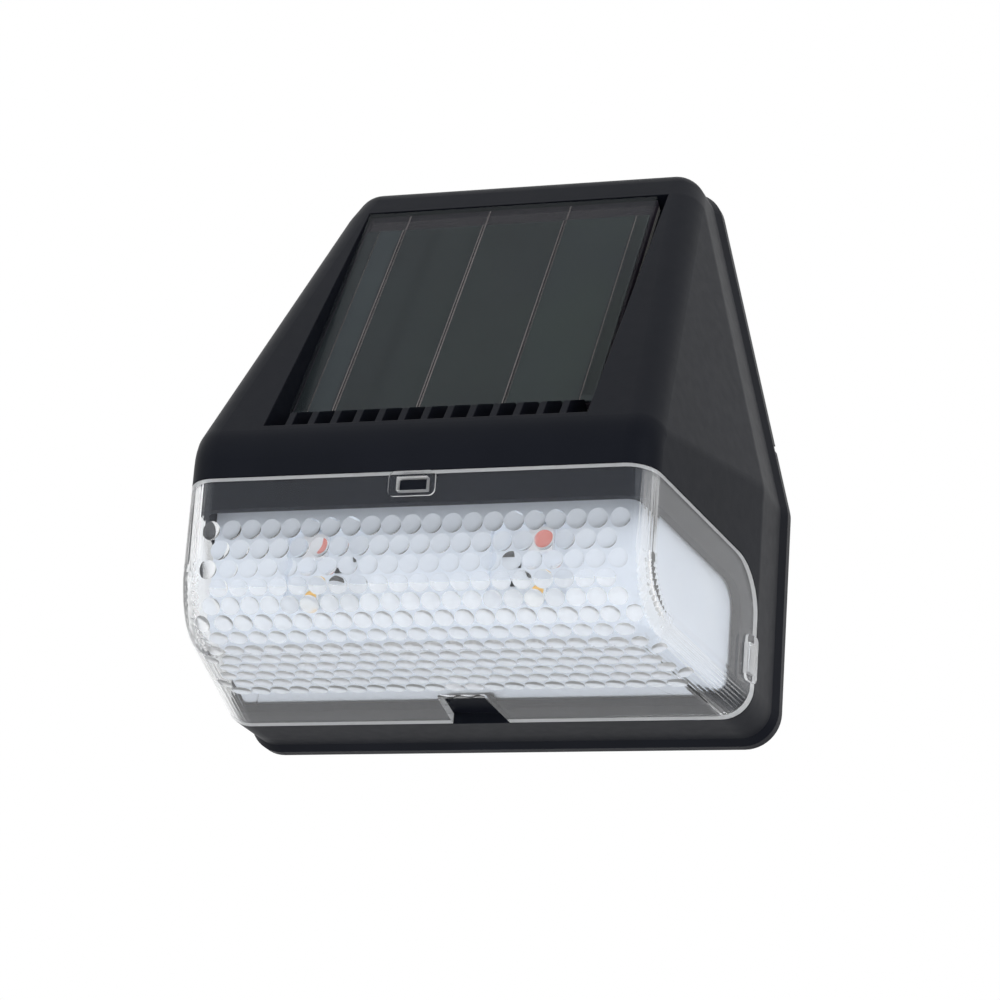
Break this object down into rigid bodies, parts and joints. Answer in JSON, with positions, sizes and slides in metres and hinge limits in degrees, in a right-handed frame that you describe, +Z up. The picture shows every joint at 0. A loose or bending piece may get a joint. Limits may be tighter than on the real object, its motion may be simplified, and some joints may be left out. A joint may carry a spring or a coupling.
{
  "type": "fence light",
  "caption": "Wedge-shaped solar light for a fence or wall: panel in its slope, clear beaded lens round its lower front, keyholes in its back cover.",
  "frame": {"origin": "midway between the two keyhole entries, on the back face that lies on the wall", "axes": "+X right seen from the front, +Y into the wall, +Z up"},
  "size_m": [0.1, 0.0614, 0.1068],
  "materials": {
    "black_abs": "fine spark texture",
    "clear_lens": "polished outside, beaded inside",
    "white_plastic": "smooth",
    "white_board": "solder mask",
    "warm_led": "clear gel over phosphor",
    "rgb_led": "clear gel in a white cup",
    "chip_black": "moulded",
    "green_board": "solder mask",
    "panel_board": "dark board of the solar panel",
    "solar_cell": "silicon under resin",
    "tinned_ribbon": "tinned",
    "panel_resin": "poured, clear",
    "sealant": "silicone",
    "gasket_rubber": "closed foam",
    "screw_steel": "zinc plated",
    "button_rubber": "silicone",
    "switch_black": "moulded",
    "switch_ivory": "moulded",
    "ferrite": "ground",
    "capacitor_can": "plain can",
    "foam_tape": "closed foam",
    "cell_sleeve": "shrink sleeve over a steel can",
    "contact_steel": "nickel plated",
    "lead_black": "pvc",
    "lead_red": "pvc",
    "lead_white": "pvc"
  },
  "bodies": {
    "lamp": {"housing": "black_abs", "back_cover": "black_abs", "battery_holder": "black_abs", "lens_cover": "clear_lens", "reflector": "white_plastic", "led_board": "white_board", "warm_white_leds": "warm_led", "rgb_leds": "rgb_led", "led_resistors": "chip_black", "chip_resistors": "chip_black", "control_ic": "chip_black", "panel_substrate": "panel_board", "control_board": "green_board", "solar_cells": "solar_cell", "cell_ribbons": "tinned_ribbon", "panel_face": "panel_resin", "panel_adhesive": "sealant", "cover_gasket": "gasket_rubber", "cover_screws": "screw_steel", "board_screws": "screw_steel", "switch_body": "switch_black", "boost_inductor": "ferrite", "filter_capacitor": "capacitor_can", "holder_tape": "foam_tape", "battery_cell": "cell_sleeve", "positive_contact": "contact_steel", "negative_contact_spring": "contact_steel", "panel_leads": "lead_black", "battery_leads": "lead_red", "led_leads": "lead_white"},
    "button": {"mode_button": "button_rubber", "switch_plunger": "switch_ivory"}
  },
  "joints": [
    {"name": "mode_press", "type": "slide", "parent": "lamp", "child": "button", "axis": [0, -1, 0], "range_m": [0, 0.0005], "stiffness_N_per_m": 3000, "springref_m": -0.0001}
  ]
}
